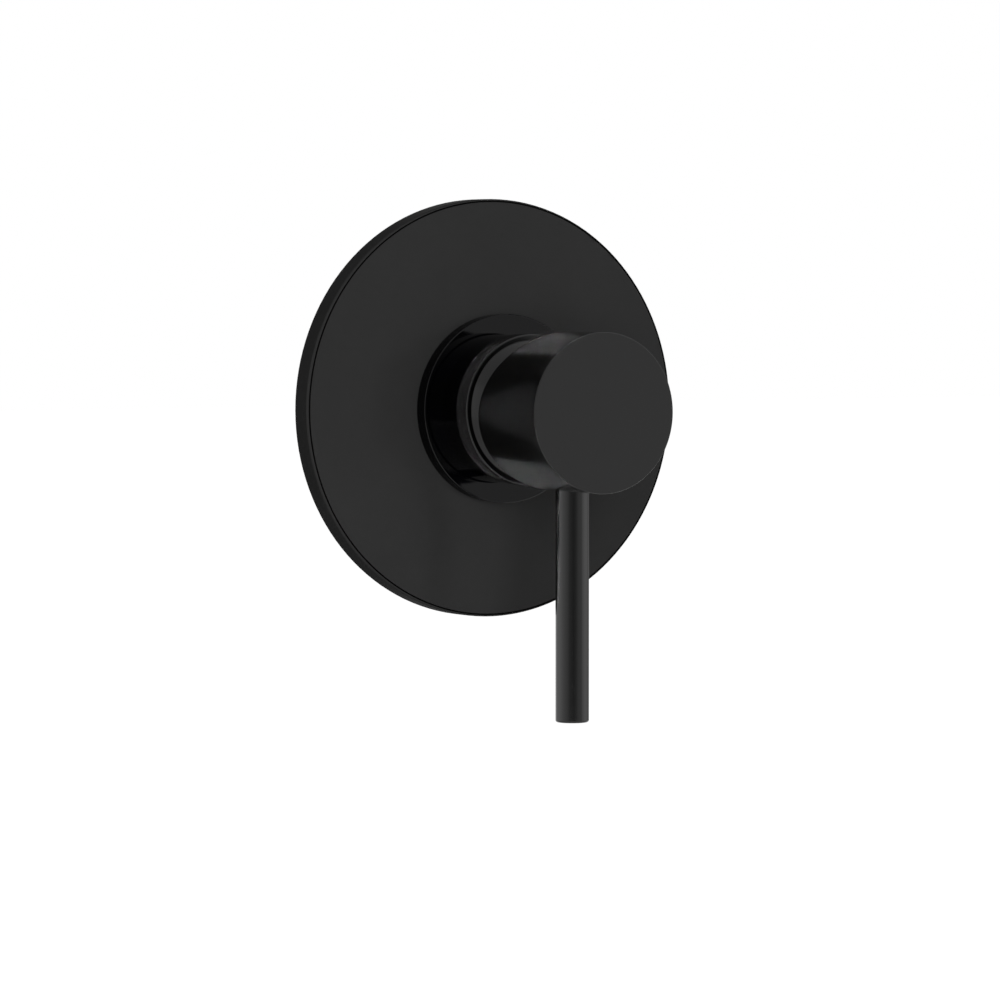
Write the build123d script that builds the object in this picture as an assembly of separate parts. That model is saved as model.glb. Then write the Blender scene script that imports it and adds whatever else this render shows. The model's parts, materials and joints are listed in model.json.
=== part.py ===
from build123d import *
import os
from math import cos, radians, sin, sqrt

# Single-lever shower mixer for building into a wall, as the separate pieces it is made of.
# The finished wall is the plane Y = 0: +Y goes into the wall, -Y towards the user, and +Z is up.
# The mixer's axis is the Y axis. A name ending in _out is a distance from the wall towards the user.
# Lengths are millimetres and angles are degrees. The handle is drawn closed, at mid temperature.

# Cover plate
plate_diameter = 120.0
plate_rim_height = 7.2
plate_crown = 4.0
plate_seat_diameter = 57.0
plate_wall = 1.6
plate_edge_round = 0.9
plate_bore_clearance = 0.5

# Gasket behind the plate's rim
gasket_width = 6.0
gasket_clearance = 0.2

# Flange ring with its collar and its two seals
flange_diameter = 54.0
flange_thickness = 4.7
flange_edge_round = 0.3
flange_rear_round = 0.4
collar_length = 8.6
collar_wall = 1.25
collar_edge_round = 0.3
o_ring_section = 1.8
o_ring_squeeze_gap = 0.03
plate_seal_diameter = 48.0

# Sleeve screwed on the valve's neck, its front a dome about the tilting pivot
sleeve_wall = 2.2
sleeve_engagement = 11.0
sleeve_band_length = 5.9
sleeve_band_step = 0.3
sleeve_dome_step = 1.5
sleeve_dome_thickness = 2.2
sleeve_mouth_diameter = 29.0
sleeve_edge_round = 0.5

# Handle: hub, pin lever and their screws
hub_diameter = 44.8
hub_length = 31.6
hub_gap = 7.7
hub_wall = 3.4
hub_front_wall = 6.0
hub_front_round = 0.2
hub_rear_round = 0.5
hub_relief_radius = 38.5
hub_relief_drop = 5.2
hub_boss_wall = 3.5
hub_boss_set_back = 3.0
pin_set_back = 17.3
pin_diameter = 9.4
pin_reach = 64.6
pin_end_round = 0.6
pin_seat_depth = 0.5
pin_seat_clearance = 0.15
pin_boss_wall = 4.0
stud_diameter = 6.0
grub_length = 6.5
grub_socket = 3.0
grub_socket_depth = 3.0
grub_gap = 0.8

# Cartridge stack, from the floor of the valve's bowl towards the user
bowl_floor_in = 8.0
base_flange_thickness = 4.0
base_spigot_height = 3.0
disc_thickness = 3.0
disc_gap = 0.02
driver_thickness = 4.4
guide_gap = 0.3
guide_flange_thickness = 1.7
thrust_thickness = 0.86
slip_gap = 0.02
housing_front_wall = 2.2
nose_length = 6.5
guide_overhang = 3.0

# Cartridge cross sections
cartridge_bore_diameter = 22.6
housing_side_wall = 1.0
housing_step = 1.2
housing_shoulder_length = 10.0
inner_clearance = 0.2
guide_neck_diameter = 19.0
running_clearance = 0.08
nose_wall = 1.9
guide_slot_length = 14.8
guide_rail_gap = 16.1
rail_clearance = 0.1
stop_lug_angle = 10.0
stop_height = 1.5
stop_clearance = 0.2
stop_margin = 1.5

# Water ports through base and discs, as places on the mixer's face
rear_port_x = 5.6
rear_port_drop = 3.6
rear_port_rise = 6.2
rear_port_diameter = 5.2
disc_port_radius = 4.0
disc_port_width = 2.0
disc_port_start = 35.0
disc_port_end = 60.0
outlet_port_rise = 4.0
outlet_port_diameter = 4.8
port_channel_width = 2.6
seal_width = 0.9
seal_height = 1.4
pocket_depth = 1.5
pocket_land = 1.8
key_width = 3.0
key_depth = 1.0
key_clearance = 0.1
base_peg_diameter = 2.8
base_peg_length = 2.0
base_peg_x = 9.6
base_peg_rise = 4.5
peg_clearance = 0.1
driver_peg_diameter = 2.0
driver_peg_length = 1.2
driver_peg_x = 5.0
driver_peg_drop = 4.0

# Spindle and its pivot
spindle_square = 7.0
spindle_side_clearance = 0.1
spindle_tail = 4.6
spindle_edge_break = 0.4
arm_diameter = 4.0
ball_diameter = 5.2
ball_clearance = 0.2
ball_floor_gap = 0.4
pivot_diameter = 3.0
pivot_end_gap = 0.2
insert_wall = 4.5
insert_clearance = 0.05
insert_set_back = 1.0
socket_past_pin = 5.0

# Motion that sets the shapes
flow_angle = 25.0
temperature_angle = 50.0

# Nut and valve body
nut_clearance = 0.15
nut_thread_step = 1.25
nut_thread_length = 6.0
nut_hex_height = 4.5
nut_hex_clearance = 0.6
nut_stand_off = 0.4
thread_clearance = 0.1
neck_wall = 2.5
barrel_step = 2.5
barrel_front_in = 0.5
inlet_in = 20.0
inlet_half_width = 41.0
outlet_rise = 45.0
boss_diameter = 24.0
port_hex_width = 25.0
port_hex_length = 5.0
port_thread_diameter = 19.8
port_thread_length = 10.0
waterway_diameter = 11.0
waterway_web = 7.0
lug_spacing = 36.0
lug_drop = 22.5
lug_width = 13.0
lug_thickness = 5.0
lug_hole_diameter = 5.5

# Places along the mixer's axis
seat_out = plate_rim_height + plate_crown
flange_front_out = seat_out + flange_thickness
collar_front_out = flange_front_out + collar_length
sleeve_front_out = collar_front_out + sleeve_band_length
hub_rear_out = sleeve_front_out + hub_gap
hub_front_out = hub_rear_out + hub_length
pin_out = hub_front_out - pin_set_back
boss_rear_out = hub_rear_out + hub_boss_set_back
socket_end_out = pin_out + socket_past_pin
floor_out = -bowl_floor_in
base_step_out = floor_out + base_flange_thickness
base_front_out = base_step_out + base_spigot_height
fixed_front_out = base_front_out + disc_thickness
moving_rear_out = fixed_front_out + disc_gap
moving_front_out = moving_rear_out + disc_thickness
driver_front_out = moving_front_out + driver_thickness
guide_rear_out = driver_front_out + guide_gap
guide_step_out = guide_rear_out + guide_flange_thickness
thrust_front_out = guide_step_out + slip_gap + thrust_thickness
wall_rear_out = thrust_front_out + slip_gap
nose_rear_out = wall_rear_out + housing_front_wall
nose_front_out = nose_rear_out + nose_length
guide_front_out = nose_front_out + guide_overhang
pivot_out = nose_rear_out + nose_length / 2
shoulder_out = base_step_out + housing_shoulder_length
nut_hex_out = shoulder_out + nut_thread_length
nut_front_out = nut_hex_out + nut_hex_height
neck_front_out = nut_hex_out - nut_stand_off
sleeve_rear_out = neck_front_out - sleeve_engagement
lug_back_out = -inlet_in - port_hex_width / 2
port_length = port_hex_length + port_thread_length

# Radii that fit into or over each other
cartridge_bore_r = cartridge_bore_diameter / 2
housing_r = cartridge_bore_r + housing_side_wall
shoulder_r = housing_r + housing_step
bowl_r = shoulder_r + inner_clearance
nut_thread_r = bowl_r + nut_thread_step
neck_bore_r = nut_thread_r + thread_clearance
neck_r = neck_bore_r + neck_wall
barrel_r = neck_r + barrel_step
sleeve_bore_r = neck_r + thread_clearance
sleeve_r = sleeve_bore_r + sleeve_wall
flange_bore_r = sleeve_r + thread_clearance
collar_r = flange_bore_r + collar_wall
band_r = collar_r + sleeve_band_step
plate_bore_r = sleeve_r + plate_bore_clearance
plate_r = plate_diameter / 2
plate_seat_r = plate_seat_diameter / 2
guide_flange_r = cartridge_bore_r - inner_clearance
guide_neck_r = guide_neck_diameter / 2
nose_bore_r = guide_neck_r + running_clearance
nose_r = nose_bore_r + nose_wall
hub_r = hub_diameter / 2
pin_r = pin_diameter / 2
pin_seat_r = pin_r + pin_seat_clearance
stud_r = stud_diameter / 2
stud_hole_r = stud_r + insert_clearance
insert_r = spindle_square / 2 + insert_wall
socket_r = insert_r + insert_clearance
hub_boss_r = socket_r + hub_boss_wall
boss_r = boss_diameter / 2
rear_port_r = rear_port_diameter / 2
waterway_r = waterway_diameter / 2
ball_r = ball_diameter / 2
pivot_r = pivot_diameter / 2

# The ball end swings on an arm about the pivot and pushes the moving disc through this travel
ball_out = moving_front_out + ball_floor_gap + ball_r
arm_length = pivot_out - ball_out
disc_travel = arm_length * sin(radians(flow_angle))
disc_rest_rise = disc_travel / 2
disc_r = cartridge_bore_r - inner_clearance
moving_disc_r = disc_r - disc_rest_rise - inner_clearance

# Half section of a turned piece: first number radius, second number distance out from the wall
section = Plane(origin=(0, 0, 0), x_dir=(1, 0, 0), z_dir=(0, 0, -1))
# Side view of the mixer: first number distance out from the wall, second number height
side = Plane(origin=(0, 0, 0), x_dir=(0, -1, 0), z_dir=(-1, 0, 0))
match_tolerance = 0.001


def facing(out, x=0.0, z=0.0):
    """Plane seen from the front at a distance out from the wall: local X is X, local Y is Z."""
    return Plane(origin=(x, -out, z), x_dir=(1, 0, 0), z_dir=(0, -1, 0))


def turned(*points):
    """Solid turned about the mixer's axis from a half section of (radius, out) corners."""
    return revolve(section * make_face(Polyline(*points, close=True)), Axis.Y)


def tube(outer, inner, start, end):
    """Plain turned ring between two distances out from the wall."""
    return turned((inner, start), (outer, start), (outer, end), (inner, end))


def bar(radius, start, end, x=0.0, z=0.0):
    """Round bar parallel to the mixer's axis between two distances out from the wall."""
    return extrude(facing(start, x, z) * Circle(radius), end - start)


def slab(outline, start, end):
    """Outline drawn on the mixer's face, given thickness between two distances out."""
    return extrude(facing(start) * outline, end - start)


def upright(radius, low, high, out):
    """Round bar along Z at a distance out from the wall."""
    return extrude(Plane(origin=(0, -out, low)) * Circle(radius), high - low)


def crosswise(radius, left, right, out, z=0.0):
    """Round bar along X at a distance out from the wall."""
    return extrude(Plane(origin=(left, -out, z), z_dir=(1, 0, 0)) * Circle(radius), right - left)


def sector(inner, outer, start, end, half_angle, middle):
    """Stretch of a turned ring, its middle at an angle about +Y counted from +X."""
    middle_r = (inner + outer) / 2
    middle_out = (start + end) / 2
    face = section * Pos(middle_r, middle_out) * Rectangle(outer - inner, end - start)
    return Rot(0, middle - half_angle, 0) * revolve(face, Axis.Y, 2 * half_angle)


def circles_at(solid, radius, out):
    """Circular edges of a turned piece with a radius, at a distance out from the wall."""
    rounds = solid.edges().filter_by(GeomType.CIRCLE)
    return rounds.filter_by(
        lambda edge: abs(edge.radius - radius) < match_tolerance
        and abs(edge.arc_center.Y + out) < match_tolerance
    )


def slot_between(start, end, width):
    """Round-ended slot between two places on the mixer's face."""
    run = Vector(*end) - Vector(*start)
    middle = (Vector(*end) + Vector(*start)) / 2
    turn = run.get_signed_angle(Vector(1, 0), Vector(0, 0, -1))
    return Pos(middle.X, middle.Y) * SlotCenterToCenter(run.length, width, rotation=turn)


def inlet_channel(hand, width):
    """Channel in the base from a rear inlet port to the disc's inlet, hand is -1 or +1."""
    middle = radians((disc_port_start + disc_port_end) / 2)
    near = (hand * disc_port_radius * cos(middle), -disc_port_radius * sin(middle))
    return slot_between(near, (hand * rear_port_x, -rear_port_drop), width)


def outlet_channel(width):
    """Channel in the base from the disc's outlet to the rear outlet port."""
    return slot_between((0, outlet_port_rise), (0, rear_port_rise), width)


def rear_ports():
    """Places of the three round ports on the floor of the bowl."""
    return [(-rear_port_x, -rear_port_drop), (rear_port_x, -rear_port_drop), (0, rear_port_rise)]


def channels(extra):
    """The three channels on the base's front face, widened by extra on each side."""
    inlets = [inlet_channel(hand, port_channel_width + 2 * extra) for hand in (-1, 1)]
    return inlets + [outlet_channel(outlet_port_diameter + 2 * extra)]


def cover_plate():
    """Dished plate: straight rim, crowned face, flat seat round the bore."""
    inside_r = plate_r - plate_wall
    inside_out = plate_rim_height - plate_wall
    under_seat_out = seat_out - plate_wall
    outline = [
        Line((plate_bore_r, seat_out), (plate_seat_r, seat_out)),
        TangentArc((plate_seat_r, seat_out), (plate_r, plate_rim_height), tangent=(1, 0)),
        Polyline((plate_r, plate_rim_height), (plate_r, 0), (inside_r, 0), (inside_r, inside_out)),
        TangentArc((plate_seat_r, under_seat_out), (inside_r, inside_out), tangent=(1, 0)),
        Polyline((plate_seat_r, under_seat_out), (plate_bore_r, under_seat_out), (plate_bore_r, seat_out)),
    ]
    plate = revolve(section * make_face(outline), Axis.Y)
    return fillet(circles_at(plate, plate_r, plate_rim_height), plate_edge_round)


def wall_gasket():
    """Soft ring inside the plate's rim, flush with the wall."""
    outer = plate_r - plate_wall - gasket_clearance
    return tube(outer, outer - gasket_width, 0, plate_rim_height - plate_wall - gasket_clearance)


def o_ring(middle_r, middle_out):
    """Rubber ring of round section."""
    face = section * Pos(middle_r, middle_out) * Circle(o_ring_section / 2 - o_ring_squeeze_gap)
    return revolve(face, Axis.Y)


def flange_ring():
    """Gloss ring on the plate with a collar forward, grooved for its two seals."""
    flange_r = flange_diameter / 2
    plate_seal_r = plate_seal_diameter / 2
    half_groove = o_ring_section / 2
    groove_out = (seat_out + flange_front_out) / 2
    ring = turned(
        (flange_bore_r, seat_out),
        (flange_r, seat_out),
        (flange_r, flange_front_out),
        (collar_r, flange_front_out),
        (collar_r, collar_front_out),
        (flange_bore_r, collar_front_out),
    )
    ring = fillet(circles_at(ring, flange_r, flange_front_out), flange_edge_round)
    ring = fillet(circles_at(ring, flange_r, seat_out), flange_rear_round)
    ring = fillet(circles_at(ring, collar_r, collar_front_out), collar_edge_round)
    face_groove = tube(plate_seal_r + half_groove, plate_seal_r - half_groove,
                       seat_out, seat_out + o_ring_section)
    bore_groove = tube(sleeve_r + o_ring_section, sleeve_r, groove_out - half_groove, groove_out + half_groove)
    return ring - face_groove - bore_groove


def plate_o_ring():
    """Seal in the flange ring's rear face, against the plate."""
    return o_ring(plate_seal_diameter / 2, seat_out + o_ring_section / 2)


def sleeve_o_ring():
    """Seal in the flange ring's bore, gripping the sleeve."""
    return o_ring(sleeve_r + o_ring_section / 2, (seat_out + flange_front_out) / 2)


def on_dome(dome_r, radius):
    """Corner of a half section on a sphere about the tilting pivot."""
    return (radius, pivot_out + sqrt(dome_r**2 - radius**2))


def dome_arc(dome_r, start_r, end_r):
    """Line of a half section along a sphere about the tilting pivot, from one radius to another."""
    middle_r = (start_r + end_r) / 2
    return ThreePointArc(on_dome(dome_r, start_r), on_dome(dome_r, middle_r), on_dome(dome_r, end_r))


def sleeve():
    """Screwed sleeve: tube through flange and plate, wider band and an open dome in front."""
    mouth_r = sleeve_mouth_diameter / 2
    dome_start_r = band_r - sleeve_dome_step
    dome_r = sqrt(dome_start_r**2 + (sleeve_front_out - pivot_out)**2)
    inner_dome_r = dome_r - sleeve_dome_thickness
    mouth_out = on_dome(dome_r, mouth_r)[1]
    outline = [
        Polyline(
            on_dome(inner_dome_r, sleeve_bore_r),
            (sleeve_bore_r, sleeve_rear_out),
            (sleeve_r, sleeve_rear_out),
            (sleeve_r, collar_front_out),
            (band_r, collar_front_out),
            (band_r, sleeve_front_out),
            on_dome(dome_r, dome_start_r),
        ),
        dome_arc(dome_r, dome_start_r, mouth_r),
        Line((mouth_r, mouth_out), on_dome(inner_dome_r, mouth_r)),
        dome_arc(inner_dome_r, mouth_r, sleeve_bore_r),
    ]
    shell = revolve(section * make_face(outline), Axis.Y)
    shell = fillet(circles_at(shell, band_r, sleeve_front_out), sleeve_edge_round)
    return fillet(circles_at(shell, mouth_r, mouth_out), sleeve_edge_round)


def hub_relief():
    """Space behind the hub's rear edge, which is an arc seen from the side so that the hub can tilt."""
    reach = hub_r + hub_wall
    depth = hub_length + hub_relief_radius
    behind = Pos(hub_rear_out - hub_length + depth / 2, 0) * Rectangle(depth, 2 * reach)
    crest = Pos(hub_rear_out + hub_relief_radius, -hub_relief_drop) * Circle(hub_relief_radius)
    return extrude(side * (behind - crest), reach, both=True)


def handle_hub():
    """Hollow cylindrical handle with a socket for the stem and a tapped hole for the pin."""
    cavity_r = hub_r - hub_wall
    cavity_front_out = hub_front_out - hub_front_wall
    boss_low = -sqrt(hub_r**2 - pin_seat_r**2) + pin_seat_depth
    hub = bar(hub_r, hub_rear_out - hub_wall, hub_front_out)
    hub = fillet(circles_at(hub, hub_r, hub_front_out), hub_front_round) - hub_relief()
    rear_edges = hub.edges().filter_by(lambda edge: edge.bounding_box().max.Y > -hub_front_out + hub_front_wall)
    rear_edges = rear_edges.filter_by(lambda edge: edge.geom_type != GeomType.LINE)
    hub = fillet(rear_edges, hub_rear_round)
    hub -= bar(cavity_r, hub_rear_out - hub_length, cavity_front_out)
    hub += bar(hub_boss_r, boss_rear_out, cavity_front_out)
    hub += upright(stud_r + pin_boss_wall, -cavity_r - hub_wall / 2, -socket_r, pin_out)
    hub -= bar(socket_r, boss_rear_out, socket_end_out)
    hub -= upright(stud_hole_r, -hub_diameter, 0, pin_out)
    return hub - upright(pin_seat_r, -hub_diameter, boss_low, pin_out)


def grub_tip():
    """Height of the grub screw's tip, just under the stem's lower flat."""
    return -spindle_square / 2 - insert_clearance


def grub_screw():
    """Headless screw that clamps the hub on the stem, with a hexagon socket in its outer end."""
    tip = grub_tip()
    low = tip - grub_length
    screw = upright(stud_r, low, tip, pin_out)
    screw = chamfer(screw.edges().group_by(Axis.Z)[-1], spindle_edge_break)
    socket = RegularPolygon(grub_socket / 2, 6, major_radius=False)
    return screw - extrude(Plane(origin=(0, -pin_out, low)) * socket, grub_socket_depth)


def pin_lever():
    """Slim pin with a shoulder that seats in the hub and a threaded stud above it."""
    shoulder = -sqrt(hub_r**2 - pin_seat_r**2) + pin_seat_depth
    stud_top = grub_tip() - grub_length - grub_gap
    low = -hub_r - pin_reach
    rod = upright(pin_r, low, shoulder, pin_out)
    rod = fillet(rod.edges().group_by(Axis.Z)[0], pin_end_round)
    stud = upright(stud_r, shoulder, stud_top, pin_out)
    return rod + chamfer(stud.edges().group_by(Axis.Z)[-1], spindle_edge_break)


def stem_insert():
    """Plastic socket between stem and hub, square inside, holed for the grub screw."""
    start = boss_rear_out + insert_set_back
    square = spindle_square + 2 * insert_clearance
    insert = bar(insert_r, start, socket_end_out)
    insert -= slab(Rectangle(square, square), start, socket_end_out)
    return insert - upright(stud_hole_r, -hub_diameter, 0, pin_out)


def spindle():
    """Cartridge lever: square stem in front, pivot eye, thin arm and ball end behind."""
    tail_out = pivot_out - spindle_tail
    stem = slab(Rectangle(spindle_square, spindle_square), tail_out, socket_end_out - insert_set_back)
    stem = chamfer(stem.faces().sort_by(Axis.Y)[0].edges(), spindle_edge_break)
    stem += bar(arm_diameter / 2, ball_out, tail_out)
    stem += Pos(0, -ball_out, 0) * Sphere(ball_r)
    eye_r = pivot_r + running_clearance
    return stem - crosswise(eye_r, -spindle_square, spindle_square, pivot_out)


def pivot_pin():
    """Steel pin across the guide that the spindle tilts on."""
    reach = guide_neck_r - pivot_end_gap
    return crosswise(pivot_r, -reach, reach, pivot_out)


def lever_guide():
    """Turning carrier: flange and rails behind, slotted neck in front, stop lug on top."""
    slot_width = spindle_square + 2 * spindle_side_clearance
    rail_rear_out = moving_front_out + guide_gap
    guide = bar(guide_flange_r, rail_rear_out, guide_step_out)
    guide -= slab(Rectangle(guide_rail_gap, 2 * cartridge_bore_diameter), rail_rear_out, guide_rear_out)
    guide += bar(guide_neck_r, guide_rear_out, guide_front_out)
    lug_start = nose_front_out + stop_clearance
    guide += sector(guide_neck_r - stop_height, nose_r, lug_start, lug_start + stop_height,
                    stop_lug_angle, -90)
    guide -= slab(Rectangle(slot_width, guide_slot_length), guide_rear_out, guide_front_out)
    return guide - crosswise(pivot_r + slip_gap, -guide_flange_r, guide_flange_r, pivot_out)


def thrust_ring():
    """Slip ring between the guide's flange and the housing's front wall."""
    start = guide_step_out + slip_gap
    return tube(guide_flange_r, nose_bore_r + inner_clearance, start, start + thrust_thickness)


def disc_driver():
    """Slider between the guide's rails with a round socket for the ball and two pegs for the disc."""
    width = guide_rail_gap - 2 * rail_clearance
    driver = bar(moving_disc_r, moving_front_out, driver_front_out)
    driver &= slab(Rectangle(width, 2 * cartridge_bore_diameter), moving_front_out, driver_front_out)
    for x in (-driver_peg_x, driver_peg_x):
        driver += bar(driver_peg_diameter / 2, moving_front_out - driver_peg_length, moving_front_out,
                      x, -driver_peg_drop)
    driver = Pos(0, 0, disc_rest_rise) * driver
    return driver - bar(ball_r + ball_clearance, moving_front_out, driver_front_out)


def moving_disc():
    """Ceramic disc with a half-round mixing pocket behind and two holes for the driver's pegs."""
    pocket_r = moving_disc_r - pocket_land
    disc = bar(moving_disc_r, moving_rear_out, moving_front_out)
    pocket = Pos(0, pocket_r / 2) * Rectangle(2 * pocket_r, pocket_r) & Circle(pocket_r)
    disc -= slab(pocket, moving_rear_out, moving_rear_out + pocket_depth)
    hole_r = driver_peg_diameter / 2 + peg_clearance
    for x in (-driver_peg_x, driver_peg_x):
        disc -= bar(hole_r, moving_front_out - driver_peg_length - peg_clearance, moving_front_out,
                    x, -driver_peg_drop)
    return Pos(0, 0, disc_rest_rise) * disc


def key_notches(width, depth, start, end):
    """Blocks at the two sides of the disc where the base keys into it."""
    blocks = [Pos(hand * (disc_r - depth / 2), 0) * Rectangle(depth, width) for hand in (-1, 1)]
    return slab(Sketch() + blocks, start, end)


def fixed_disc():
    """Ceramic disc with two curved inlet ports, a round outlet port and two key notches."""
    span = disc_port_end - disc_port_start
    disc = bar(disc_r, base_front_out, fixed_front_out)
    for start in (-disc_port_end, 180 + disc_port_start):
        arc = CenterArc((0, 0), disc_port_radius, start, span)
        disc -= slab(SlotArc(arc, disc_port_width), base_front_out, fixed_front_out)
    disc -= bar(outlet_port_diameter / 2, base_front_out, fixed_front_out, 0, outlet_port_rise)
    return disc - key_notches(key_width + 2 * key_clearance, key_depth + key_clearance,
                              base_front_out, fixed_front_out)


def disc_seals():
    """Rubber rings round the three channels, under the fixed disc."""
    start = base_front_out - seal_height
    inside = channels(0)
    outside = channels(seal_width)
    rings = [slab(wide - narrow, start, base_front_out) for wide, narrow in zip(outside, inside)]
    return Compound(children=rings)


def base_seals():
    """Rubber rings round the three ports, on the floor of the bowl."""
    rings = []
    for x, z in rear_ports():
        ring = Pos(x, z) * (Circle(rear_port_r + seal_width) - Circle(rear_port_r))
        rings.append(slab(ring, floor_out, floor_out + seal_height))
    return Compound(children=rings)


def cartridge_base():
    """Plastic base: flange and spigot, ports from behind, channels in front, pegs and keys."""
    flange_r = shoulder_r - inner_clearance
    spigot_r = cartridge_bore_r - inner_clearance
    base = bar(flange_r, floor_out, base_step_out) + bar(spigot_r, base_step_out, base_front_out)
    base += key_notches(key_width, key_depth, base_front_out, base_front_out + disc_thickness / 2)
    for x in (-base_peg_x, base_peg_x):
        base += bar(base_peg_diameter / 2, floor_out - base_peg_length, floor_out, x, base_peg_rise)
    for x, z in rear_ports():
        base -= bar(rear_port_r, floor_out, base_step_out, x, z)
        base -= bar(rear_port_r + seal_width, floor_out, floor_out + seal_height, x, z)
    for narrow, wide in zip(channels(0), channels(seal_width)):
        base -= slab(narrow, base_step_out - seal_height, base_front_out)
        base -= slab(wide, base_front_out - seal_height, base_front_out)
    return base


def cartridge_housing():
    """Plastic cup over the cartridge: shoulder for the nut, nose for the guide, stops in front."""
    housing = turned(
        (cartridge_bore_r, base_step_out),
        (shoulder_r, base_step_out),
        (shoulder_r, shoulder_out),
        (housing_r, shoulder_out),
        (housing_r, nose_rear_out),
        (nose_r, nose_rear_out),
        (nose_r, nose_front_out),
        (nose_bore_r, nose_front_out),
        (nose_bore_r, wall_rear_out),
        (cartridge_bore_r, wall_rear_out),
    )
    free_angle = temperature_angle + stop_lug_angle + stop_margin
    return housing + sector(nose_bore_r, nose_r, nose_front_out, nose_front_out + stop_height,
                            180 - free_angle, 90)


def cartridge_nut():
    """Ring nut: round threaded part in the neck, hexagon in front of it."""
    bore_r = housing_r + nut_clearance
    hexagon = RegularPolygon(sleeve_bore_r - nut_hex_clearance, 6)
    nut = bar(nut_thread_r, shoulder_out, nut_hex_out) + slab(hexagon, nut_hex_out, nut_front_out)
    return nut - bar(bore_r, shoulder_out, nut_front_out)


def lug_places():
    """Places of the two fixing holes on the mixer's face."""
    return [(-lug_spacing / 2, -lug_drop), (lug_spacing / 2, -lug_drop)]


def port(start):
    """End of an arm along a plane's normal: hexagon for a spanner, then the threaded spigot."""
    hexagon = RegularPolygon(port_hex_width / 2, 6, major_radius=False)
    spigot = start * Circle(port_thread_diameter / 2)
    return extrude(start * hexagon, port_hex_length) + extrude(spigot, port_length)


def valve_casting():
    """Outside of the brass body: barrel and neck, inlet arms, outlet arm and lugs."""
    arm_end = inlet_half_width - port_length
    outlet_end = outlet_rise - port_length
    body = bar(barrel_r, -inlet_in, -barrel_front_in) + bar(neck_r, -inlet_in, neck_front_out)
    body += crosswise(boss_r, -arm_end, arm_end, -inlet_in, -rear_port_drop)
    body += upright(boss_r, -rear_port_drop, outlet_end, -inlet_in)
    for hand in (-1, 1):
        body += port(Plane(origin=(hand * arm_end, inlet_in, -rear_port_drop), z_dir=(hand, 0, 0)))
    body += port(Plane(origin=(0, inlet_in, outlet_end)))
    for x, z in lug_places():
        lug = slot_between((x, -rear_port_drop), (x, z), lug_width)
        body += slab(lug, lug_back_out, lug_back_out + lug_thickness)
    return body


def valve_body():
    """Brass body behind the wall with its bowl, its ports and the waterways drilled through them."""
    body = valve_casting()
    body -= bar(bowl_r, floor_out, neck_front_out)
    body -= bar(neck_bore_r, shoulder_out - inner_clearance, neck_front_out)
    for x in (-base_peg_x, base_peg_x):
        body -= bar(base_peg_diameter / 2 + peg_clearance, floor_out - base_peg_length - peg_clearance,
                    floor_out, x, base_peg_rise)
    for x, z in rear_ports():
        body -= bar(rear_port_r, -inlet_in, floor_out, x, z)
    for hand in (-1, 1):
        left, right = sorted((hand * waterway_web / 2, hand * inlet_half_width))
        body -= crosswise(waterway_r, left, right, -inlet_in, -rear_port_drop)
    body -= upright(waterway_r, rear_port_rise - rear_port_r, outlet_rise, -inlet_in)
    for x, z in lug_places():
        body -= bar(lug_hole_diameter / 2, lug_back_out, -inlet_in, x, z)
    return body


pieces = {
    "cover_plate": cover_plate(),
    "wall_gasket": wall_gasket(),
    "flange_ring": flange_ring(),
    "plate_o_ring": plate_o_ring(),
    "sleeve_o_ring": sleeve_o_ring(),
    "sleeve": sleeve(),
    "handle_hub": handle_hub(),
    "pin_lever": pin_lever(),
    "grub_screw": grub_screw(),
    "stem_insert": stem_insert(),
    "spindle": spindle(),
    "pivot_pin": pivot_pin(),
    "lever_guide": lever_guide(),
    "thrust_ring": thrust_ring(),
    "disc_driver": disc_driver(),
    "moving_disc": moving_disc(),
    "fixed_disc": fixed_disc(),
    "disc_seals": disc_seals(),
    "cartridge_base": cartridge_base(),
    "base_seals": base_seals(),
    "cartridge_housing": cartridge_housing(),
    "cartridge_nut": cartridge_nut(),
    "valve_body": valve_body(),
}

os.makedirs("parts", exist_ok=True)
for name, piece in pieces.items():
    export_step(piece, f"parts/{name}.step")
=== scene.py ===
import json
from math import cos, pi, radians, sin

import bpy
from mathutils import Matrix, Vector


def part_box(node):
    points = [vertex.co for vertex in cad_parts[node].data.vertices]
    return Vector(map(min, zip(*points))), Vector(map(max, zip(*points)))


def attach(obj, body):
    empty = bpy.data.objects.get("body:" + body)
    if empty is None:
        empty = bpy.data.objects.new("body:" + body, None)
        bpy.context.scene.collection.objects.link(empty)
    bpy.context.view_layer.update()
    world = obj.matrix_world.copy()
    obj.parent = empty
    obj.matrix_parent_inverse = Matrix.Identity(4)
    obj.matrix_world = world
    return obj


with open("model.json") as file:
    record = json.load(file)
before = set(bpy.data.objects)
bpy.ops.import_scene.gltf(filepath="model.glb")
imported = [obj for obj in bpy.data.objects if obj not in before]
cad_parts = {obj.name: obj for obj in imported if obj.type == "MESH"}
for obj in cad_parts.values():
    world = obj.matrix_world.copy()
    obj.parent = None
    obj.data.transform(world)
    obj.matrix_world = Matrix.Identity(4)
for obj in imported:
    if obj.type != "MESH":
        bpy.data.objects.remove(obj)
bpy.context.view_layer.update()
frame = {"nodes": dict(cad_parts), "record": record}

# Looks of the built-in shower mixer. Lengths are metres and angles degrees. The wall is the plane Y = 0, -Y goes
# towards the user and +Z is up. An azimuth of 0 is straight in front, and a negative one is to the user's left.
MM = 0.001
MICRON = 1e-6
FULL_TURN = 360.0

plate_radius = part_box("cover_plate")[1].x

# Camera, as fitted to the photograph: the picture is square, and the lens is given for a 36 mm sensor. The side
# and the rise are the place of the frame's origin, to the right of the picture's middle and above it.
camera_azimuth = -29.802
camera_elevation = 2.546
camera_side = -0.09695 * plate_radius
camera_rise = 0.44470 * plate_radius
camera_distance = 24.2 * plate_radius
camera_sensor = 36.0
camera_lens = 181.119
camera_reach = 100.0

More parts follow.
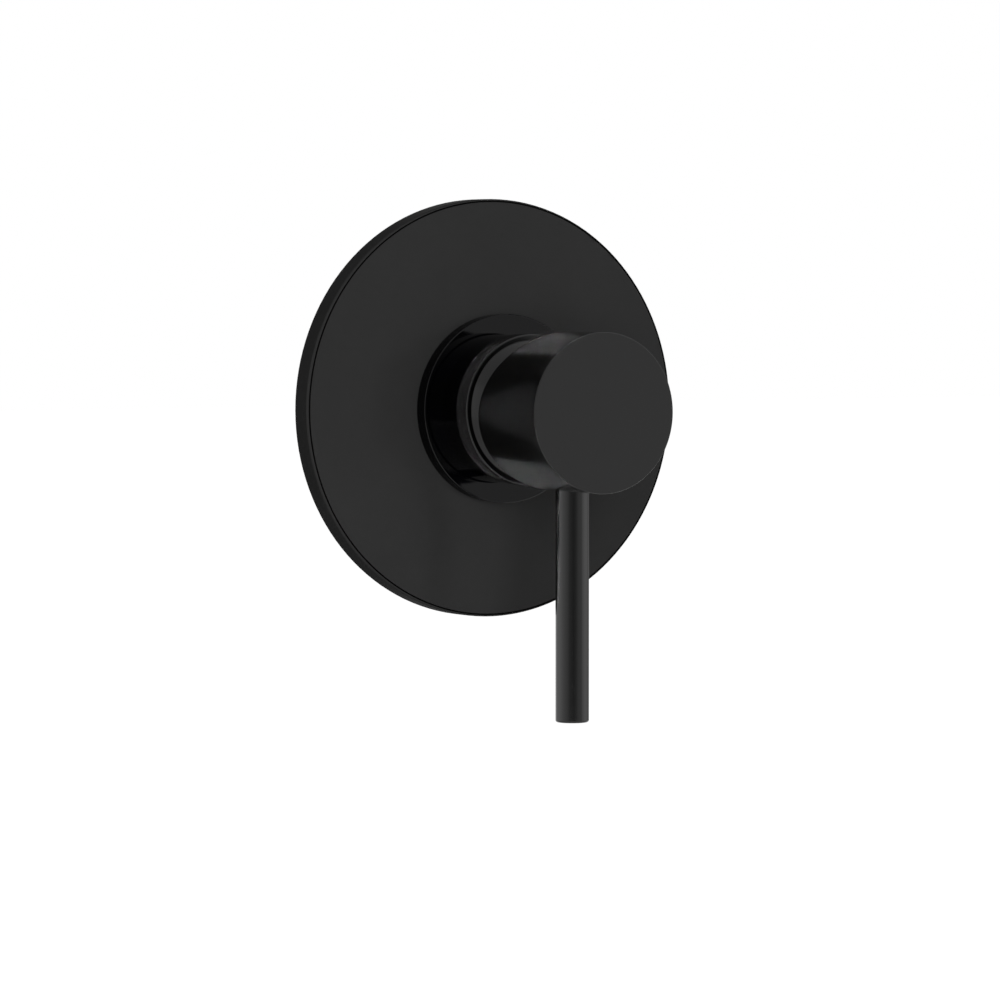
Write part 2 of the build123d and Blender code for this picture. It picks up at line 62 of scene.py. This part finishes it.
# Studio: a dim white world, a pale floor that is lifted to white where it is seen, and a large soft lamp
world_light = 0.2
floor_drop = 0.35
floor_half = 12.0
floor_white = 0.9
floor_lift = 0.85
front_lamp_azimuth = -22.0
front_lamp_elevation = 4.0
front_lamp_distance = 2.3
front_lamp_size = 1.4
front_lamp_power = 37.0

# Curved card in front, seen only in reflections: its brightness at azimuths from left to right. The card opens
# opposite to tent_azimuth.
tent_azimuth = -20.0
tent_radius = 2.0
tent_half_height = 1.2
tent_step = 5
tent_levels = {
    -155: 1.0, -128: 1.9, -108: 1.95, -60: 1.05, -46: 0.60, -20: 0.36, -4: 0.56, 12: 1.0,
    24: 1.1, 34: 1.1, 44: 1.7, 64: 1.8, 84: 1.15, 100: 0.5, 120: 0.25, 150: 0.25,
}

# Small lamps behind the wall's plane, each of which lights one node: that node, the lamp's left, right, bottom and
# top, and its watts per square metre. Three give the hub's round side its bands of light, the others the sleeve's
# band and the pin's left edge.
band_lamp_depth = 0.04
band_lamps = {
    "left_band_lamp": ("handle_hub", -0.100, -0.068, -0.055, 0.065, 0.5),
    "top_band_lamp": ("handle_hub", -0.013, 0.042, 0.044, 0.095, 1.2),
    "bottom_band_lamp": ("handle_hub", -0.031, 0.033, -0.095, -0.045, 0.8),
    "sleeve_lamp": ("sleeve", -0.075, 0.010, -0.070, 0.070, 0.38),
    "pin_lamp": ("pin_lever", -0.150, -0.045, -0.060, -0.015, 2.2),
}

# Black card beside them, as left, right, bottom and top, which keeps the white world out of the hub's round side
flag = (-0.115, -0.060, -0.045, 0.075)

# Fine dark ring where the plate's face meets its rounded edge. It is painted shade: a black ring that stands for
# the shadow in the groove there.
shade_line_radius = plate_radius - 0.68 * MM
shade_line_out = 7.37 * MM
shade_line_section = 0.22 * MM
shade_line_steps = 180
shade_line_sides = 8

# Half-inch pipe thread on the ports, whose place, direction, radius and length the record's mounts give. The root
# is sunk in the port, and the ridge rises from it over part of a turn at both ends.
thread_ports = ("hot_inlet", "cold_inlet", "shower_outlet")
thread_pitch = 1.814 * MM
thread_crest = 10.48 * MM
thread_sunk = 0.1 * MM
thread_flat = 0.3 * MM
thread_margin = 1.0 * MM
thread_steps = 48
thread_fade_steps = thread_steps / 4
ridge_corners = 4

# Noise in the finishes: clouds of colour and of gloss in cycles per metre, and octaves and roughness of the grain.
# The clouds use the middle of the noise's range.
cloud_octaves = 4.0
cloud_roughness = 0.55
noise_low = 0.3
noise_high = 0.7
coat_noise = {"colour": 60.0, "gloss": 140.0, "octaves": 2.0, "roughness": 0.55}
metal_noise = {"colour": 90.0, "gloss": 400.0, "octaves": 3.0, "roughness": 0.6}
moulded_noise = {"colour": 120.0, "gloss": 300.0, "octaves": 3.0, "roughness": 0.55}


class Nodes:
    """Short way to write a node tree."""

    def __init__(self, tree):
        self.tree = tree
        self.tree.nodes.clear()

    def add(self, kind, **settings):
        node = self.tree.nodes.new(kind)
        for name, value in settings.items():
            setattr(node, name, value)
        return node

    def link(self, source, target):
        self.tree.links.new(source, target)


def grey(value):
    return (value, value, value)


def opaque(colour):
    return (*colour, 1.0)


def bare_material(name):
    """Material with an output only."""
    material = bpy.data.materials.new(name)
    material.use_nodes = True
    nodes = Nodes(material.node_tree)
    return material, nodes, nodes.add("ShaderNodeOutputMaterial")


def shaded_material(name):
    """Material with an output and a principled shader."""
    material, nodes, output = bare_material(name)
    shader = nodes.add("ShaderNodeBsdfPrincipled")
    nodes.link(shader.outputs["BSDF"], output.inputs["Surface"])
    return material, nodes, shader


def noise(nodes, scale, octaves=cloud_octaves, roughness=cloud_roughness):
    """Noise in object space, scale in cycles per metre."""
    place = nodes.add("ShaderNodeTexCoord")
    texture = nodes.add("ShaderNodeTexNoise")
    texture.inputs["Scale"].default_value = scale
    texture.inputs["Detail"].default_value = octaves
    texture.inputs["Roughness"].default_value = roughness
    nodes.link(place.outputs["Object"], texture.inputs["Vector"])
    return texture.outputs["Fac"]


def colour_spread(nodes, source, low, high):
    """Maps noise to the colours between two."""
    node = nodes.add("ShaderNodeValToRGB")
    for element, place, colour in zip(node.color_ramp.elements, (noise_low, noise_high), (low, high)):
        element.position = place
        element.color = opaque(colour)
    nodes.link(source, node.inputs["Fac"])
    return node.outputs["Color"]


def value_spread(nodes, source, low, high):
    """Maps noise to the values between two."""
    node = nodes.add("ShaderNodeMapRange")
    node.inputs["From Min"].default_value = noise_low
    node.inputs["From Max"].default_value = noise_high
    node.inputs["To Min"].default_value = low
    node.inputs["To Max"].default_value = high
    nodes.link(source, node.inputs["Value"])
    return node.outputs["Result"]


def bump(nodes, shader, source, height):
    """Small height from a source, in metres."""
    node = nodes.add("ShaderNodeBump")
    node.inputs["Strength"].default_value = 1.0
    node.inputs["Distance"].default_value = height
    nodes.link(source, node.inputs["Height"])
    nodes.link(node.outputs["Normal"], shader.inputs["Normal"])


def finish(name, clouds, sockets, dark, light, smooth, rough, grain, grain_height):
    """Cloudy colour and gloss and a fine grain. The sockets are what else is set on the shader."""
    material, nodes, shader = shaded_material(name)
    colour = colour_spread(nodes, noise(nodes, clouds["colour"]), dark, light)
    gloss = value_spread(nodes, noise(nodes, clouds["gloss"]), smooth, rough)
    nodes.link(colour, shader.inputs["Base Color"])
    nodes.link(gloss, shader.inputs["Roughness"])
    bump(nodes, shader, noise(nodes, grain, clouds["octaves"], clouds["roughness"]), grain_height)
    for socket, value in sockets.items():
        shader.inputs[socket].default_value = value
    return material


def gloss_coat(name, level, **look):
    """Black coat with a clear reflection, level being its strength."""
    return finish(name, coat_noise, {"Specular IOR Level": level}, **look)


def matte_coat(name, shine, edge, **look):
    """Dull black coat, which scatters most of its light and stays dark at a glancing angle."""
    sockets = {"Metallic": shine, "Specular IOR Level": 0.0, "Specular Tint": opaque(grey(edge))}
    return finish(name, coat_noise, sockets, **look)


def metal(name, **look):
    """Bare metal."""
    return finish(name, metal_noise, {"Metallic": 1.0}, **look)


def moulded(name, **look):
    """Plastic, ceramic, rubber or foam."""
    return finish(name, moulded_noise, {}, **look)


# Kind and look of each finish: range of colour, range of roughness, grain in cycles per metre and its height
looks = {
    "plate_black": (matte_coat, dict(
        dark=grey(0.033), light=grey(0.035), shine=0.11, edge=0.4,
        smooth=0.17, rough=0.23, grain=2600.0, grain_height=1.0 * MICRON)),
    # Dead black, dull coat of the plate's edge ring: painted shade for the groove's shadow
    "edge_shade_black": (matte_coat, dict(
        dark=grey(0.0015), light=grey(0.003), shine=0.0, edge=1.0,
        smooth=0.60, rough=0.70, grain=2600.0, grain_height=1.0 * MICRON)),
    "gloss_black": (gloss_coat, dict(
        dark=grey(0.0004), light=(0.0005, 0.0005, 0.0012), level=0.17,
        smooth=0.05, rough=0.08, grain=1500.0, grain_height=0.5 * MICRON)),
    "sleeve_black": (gloss_coat, dict(
        dark=grey(0.0008), light=grey(0.0014), level=0.28,
        smooth=0.22, rough=0.28, grain=2600.0, grain_height=2.0 * MICRON)),
    "handle_black": (gloss_coat, dict(
        dark=grey(0.0004), light=grey(0.0007), level=0.34,
        smooth=0.09, rough=0.12, grain=2600.0, grain_height=0.5 * MICRON)),
    "brass": (metal, dict(
        dark=(0.50, 0.31, 0.11), light=(0.66, 0.44, 0.18),
        smooth=0.32, rough=0.50, grain=900.0, grain_height=50.0 * MICRON)),
    "steel": (metal, dict(
        dark=(0.48, 0.48, 0.49), light=(0.60, 0.60, 0.61),
        smooth=0.22, rough=0.34, grain=2500.0, grain_height=10.0 * MICRON)),
    "white_plastic": (moulded, dict(
        dark=(0.70, 0.69, 0.66), light=(0.78, 0.77, 0.74),
        smooth=0.35, rough=0.48, grain=1800.0, grain_height=5.0 * MICRON)),
    "grey_plastic": (moulded, dict(
        dark=grey(0.12), light=grey(0.17),
        smooth=0.38, rough=0.52, grain=1800.0, grain_height=6.0 * MICRON)),
    "ceramic": (moulded, dict(
        dark=(0.62, 0.60, 0.56), light=(0.70, 0.68, 0.64),
        smooth=0.10, rough=0.20, grain=3000.0, grain_height=2.0 * MICRON)),
    "rubber": (moulded, dict(
        dark=grey(0.010), light=grey(0.018),
        smooth=0.50, rough=0.66, grain=2400.0, grain_height=10.0 * MICRON)),
    "foam": (moulded, dict(
        dark=grey(0.018), light=grey(0.035),
        smooth=0.80, rough=0.95, grain=1600.0, grain_height=120.0 * MICRON)),
}
finishes = {name: make(name, **look) for name, (make, look) in looks.items()}


def dress_nodes():
    """Gives every node the finish of its slot in the record."""
    for node in frame["nodes"].values():
        slot = node.data.materials[0].name.split(".")[0]
        node.data.materials.clear()
        node.data.materials.append(finishes[slot])


def mesh_object(name, verts, faces, material):
    mesh = bpy.data.meshes.new(name)
    mesh.from_pydata(verts, [], faces)
    mesh.materials.append(material)
    obj = bpy.data.objects.new(name, mesh)
    bpy.context.scene.collection.objects.link(obj)
    return obj


def make_shade_line():
    """Thin dark ring round the plate's face. It is painted shade that stands for the shadow in the groove where
    the face meets its rounded edge.
    """
    verts, faces = [], []
    for n in range(shade_line_steps):
        a = 2 * pi * n / shade_line_steps
        for k in range(shade_line_sides):
            b = 2 * pi * k / shade_line_sides
            r = shade_line_radius + shade_line_section * cos(b)
            verts.append((r * cos(a), shade_line_section * sin(b) - shade_line_out, r * sin(a)))
    for n in range(shade_line_steps):
        near, far = n * shade_line_sides, (n + 1) % shade_line_steps * shade_line_sides
        for k in range(shade_line_sides):
            following = (k + 1) % shade_line_sides
            faces.append((near + k, far + k, far + following, near + following))
    obj = mesh_object("plate_edge_shade_line", verts, faces, finishes["edge_shade_black"])
    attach(obj, "fixed")


def ridge_section(root, angle, rise, fade):
    """Corners of the thread's ridge at an angle, with its crest lowered to the root where fade is 0."""
    crest = root + (thread_crest - root) * fade
    foot, top = thread_pitch / 2, thread_flat / 2
    corners = ((root, -foot), (crest, -top), (crest, top), (root, foot))
    return [(r * cos(angle), r * sin(angle), rise + along) for r, along in corners]


def make_thread(name, mount):
    """Helical ridge of a port's outside thread. The mount is the middle of the threaded length."""
    direction = Vector(mount["axis"])
    length = mount["dims"]["length_mm"] * MM
    root = mount["dims"]["r_mm"] * MM - thread_sunk
    run = length - 2 * thread_margin
    count = round(run / thread_pitch * thread_steps)
    verts, faces = [], []
    for n in range(count + 1):
        fade = min(min(n, count - n) / thread_fade_steps, 1.0)
        verts += ridge_section(root, 2 * pi * n / thread_steps, thread_margin + run * n / count, fade)
    for n in range(count):
        near, far = n * ridge_corners, (n + 1) * ridge_corners
        for k in range(ridge_corners):
            following = (k + 1) % ridge_corners
            faces.append((near + k, near + following, far + following, far + k))
    start_cap = tuple(reversed(range(ridge_corners)))
    end_cap = tuple(count * ridge_corners + k for k in range(ridge_corners))
    faces += [start_cap, end_cap]
    obj = mesh_object(name, verts, faces, finishes["brass"])
    start = Vector(mount["pos_m"]) - length / 2 * direction
    obj.matrix_world = Matrix.Translation(start) @ direction.to_track_quat("Z", "Y").to_matrix().to_4x4()
    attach(obj, "fixed")


def make_threads():
    mounts = {mount["name"]: mount for mount in frame["record"]["mounts"]}
    for port in thread_ports:
        make_thread(f"{port}_thread", mounts[port])


def light_path_mask(nodes):
    """1 for rays to which the background looks plain white."""
    path = nodes.add("ShaderNodeLightPath")
    first = nodes.add("ShaderNodeMath", operation="MAXIMUM")
    second = nodes.add("ShaderNodeMath", operation="MAXIMUM")
    nodes.link(path.outputs["Is Camera Ray"], first.inputs[0])
    nodes.link(path.outputs["Is Glossy Ray"], first.inputs[1])
    nodes.link(first.outputs["Value"], second.inputs[0])
    nodes.link(path.outputs["Is Transmission Ray"], second.inputs[1])
    return second.outputs["Value"]


def make_world():
    """White all round where it is seen, and dim as a light."""
    world = bpy.data.worlds.new("studio")
    bpy.context.scene.world = world
    world.use_nodes = True
    nodes = Nodes(world.node_tree)
    output = nodes.add("ShaderNodeOutputWorld")
    mix = nodes.add("ShaderNodeMixShader")
    lit = nodes.add("ShaderNodeBackground")
    lit.inputs["Strength"].default_value = world_light
    seen = nodes.add("ShaderNodeBackground")
    for background in (lit, seen):
        background.inputs["Color"].default_value = opaque(grey(1.0))
    nodes.link(light_path_mask(nodes), mix.inputs["Fac"])
    nodes.link(lit.outputs["Background"], mix.inputs[1])
    nodes.link(seen.outputs["Background"], mix.inputs[2])
    nodes.link(mix.outputs["Shader"], output.inputs["Surface"])


def stage_piece(name, verts, faces, material):
    """Piece of the studio."""
    obj = mesh_object(name, verts, faces, material)
    return obj


def show_only_in_reflections(obj):
    obj.visible_camera = False
    obj.visible_diffuse = False
    obj.visible_shadow = False


def make_floor():
    """Pale floor: its own lit colour, which keeps the shadow, and a lift for the rays that see it."""
    material, nodes, output = bare_material("floor_white")
    both = nodes.add("ShaderNodeAddShader")
    diffuse = nodes.add("ShaderNodeBsdfDiffuse")
    diffuse.inputs["Color"].default_value = opaque(grey(floor_white))
    glow = nodes.add("ShaderNodeEmission")
    level = nodes.add("ShaderNodeMath", operation="MULTIPLY")
    level.inputs[1].default_value = floor_lift
    nodes.link(light_path_mask(nodes), level.inputs[0])
    nodes.link(level.outputs["Value"], glow.inputs["Strength"])
    nodes.link(diffuse.outputs["BSDF"], both.inputs[0])
    nodes.link(glow.outputs["Emission"], both.inputs[1])
    nodes.link(both.outputs["Shader"], output.inputs["Surface"])
    sides = ((-1, -1), (1, -1), (1, 1), (-1, 1))
    corners = [(x * floor_half, y * floor_half, -floor_drop) for x, y in sides]
    stage_piece("floor", corners, [(0, 1, 2, 3)], material)


def axes_at(azimuth, elevation):
    """Right, up and back of a view of the mixer."""
    a, e = radians(azimuth), radians(elevation)
    right = Vector((cos(a), sin(a), 0.0))
    back = Vector((sin(a) * cos(e), -cos(a) * cos(e), sin(e)))
    return right, back.cross(right), back


def tent_material():
    """Glow that follows tent_levels round the card's axis."""
    peak = max(tent_levels.values())
    material, nodes, output = bare_material("tent_grey")
    glow = nodes.add("ShaderNodeEmission")
    glow.inputs["Strength"].default_value = peak
    place = nodes.add("ShaderNodeTexCoord")
    turn = nodes.add("ShaderNodeTexGradient", gradient_type="RADIAL")
    levels = nodes.add("ShaderNodeValToRGB")
    # A ramp starts with two elements of its own and can't be empty, so one goes before the new ones and one after
    elements = levels.color_ramp.elements
    elements.remove(elements[1])
    for azimuth, level in tent_levels.items():
        element = elements.new(0.5 + (azimuth - tent_azimuth) / FULL_TURN)
        element.color = opaque(grey(level / peak))
    elements.remove(elements[0])
    nodes.link(place.outputs["Object"], turn.inputs["Vector"])
    nodes.link(turn.outputs["Fac"], levels.inputs["Fac"])
    nodes.link(levels.outputs["Color"], glow.inputs["Color"])
    nodes.link(glow.outputs["Emission"], output.inputs["Surface"])
    return material


def make_tent():
    """Curved card, dark behind the camera and bright at both sides, for the gradient on round glossy pieces."""
    verts, faces = [], []
    for azimuth in range(min(tent_levels), max(tent_levels) + 1, tent_step):
        a = radians(azimuth - tent_azimuth)
        x, y = tent_radius * cos(a), tent_radius * sin(a)
        verts += [(x, y, -tent_half_height), (x, y, tent_half_height)]
    for n in range(0, len(verts) - 2, 2):
        faces.append((n, n + 2, n + 3, n + 1))
    tent = stage_piece("tent", verts, faces, tent_material())
    # An azimuth of 0 is -Y, a quarter turn before +X
    tent.rotation_euler.z = radians(tent_azimuth - FULL_TURN / 4)
    show_only_in_reflections(tent)


def lamp_object(name, lamp):
    obj = bpy.data.objects.new(name, lamp)
    obj.visible_camera = False
    bpy.context.scene.collection.objects.link(obj)
    return obj


def make_front_lamp():
    """Large soft lamp near the camera's line, pointed at the mixer."""
    lamp = bpy.data.lights.new("front_lamp", "AREA")
    lamp.size = front_lamp_size
    lamp.energy = front_lamp_power
    obj = lamp_object("front_lamp", lamp)
    back = axes_at(front_lamp_azimuth, front_lamp_elevation)[2]
    obj.location = back * front_lamp_distance
    obj.rotation_euler = back.to_track_quat("Z", "Y").to_euler()
    obj.visible_glossy = False


def make_flag():
    """Black card in the plane of the small lamps."""
    left, right, bottom, top = flag
    material, _, shader = shaded_material("flag_black")
    shader.inputs["Base Color"].default_value = opaque(grey(0.0))
    shader.inputs["Specular IOR Level"].default_value = 0.0
    y = band_lamp_depth
    corners = [(left, y, bottom), (right, y, bottom), (right, y, top), (left, y, top)]
    card = stage_piece("flag", corners, [(0, 1, 2, 3)], material)
    show_only_in_reflections(card)


def make_band_lamp(name, lit, left, right, bottom, top, power):
    """Small lamp that faces the user from behind and lights only one node, past the plate."""
    lamp = bpy.data.lights.new(name, "AREA")
    lamp.shape = "RECTANGLE"
    lamp.size = right - left
    lamp.size_y = top - bottom
    lamp.energy = power * lamp.size * lamp.size_y
    # Reflected rays stop at the plate, so the lamp is only sampled directly
    lamp.cycles.use_multiple_importance_sampling = False
    obj = lamp_object(name, lamp)
    obj.matrix_world = Matrix((
        (-1.0, 0.0, 0.0, (left + right) / 2),
        (0.0, 0.0, 1.0, band_lamp_depth),
        (0.0, 1.0, 0.0, (bottom + top) / 2),
        (0.0, 0.0, 0.0, 1.0),
    ))
    lit_nodes = bpy.data.collections.new(f"{name}_lit")
    lit_nodes.objects.link(frame["nodes"][lit])
    obj.light_linking.receiver_collection = lit_nodes
    obj.light_linking.blocker_collection = lit_nodes


def make_band_lamps():
    for name, settings in band_lamps.items():
        make_band_lamp(name, *settings)


def make_camera():
    """Camera at the photograph's viewing angle."""
    right, up, back = axes_at(camera_azimuth, camera_elevation)
    camera = bpy.data.cameras.new("camera")
    camera.sensor_width = camera_sensor
    camera.lens = camera_lens
    camera.clip_end = camera_reach
    obj = bpy.data.objects.new("camera", camera)
    place = back * camera_distance - right * camera_side - up * camera_rise
    obj.matrix_world = Matrix((
        (right.x, up.x, back.x, place.x),
        (right.y, up.y, back.y, place.y),
        (right.z, up.z, back.z, place.z),
        (0.0, 0.0, 0.0, 1.0),
    ))
    bpy.context.scene.collection.objects.link(obj)
    bpy.context.scene.camera = obj


dress_nodes()
make_shade_line()
make_threads()
make_world()
make_floor()
make_tent()
make_front_lamp()
make_flag()
make_band_lamps()
make_camera()
bpy.context.scene.view_settings.view_transform = "Standard"
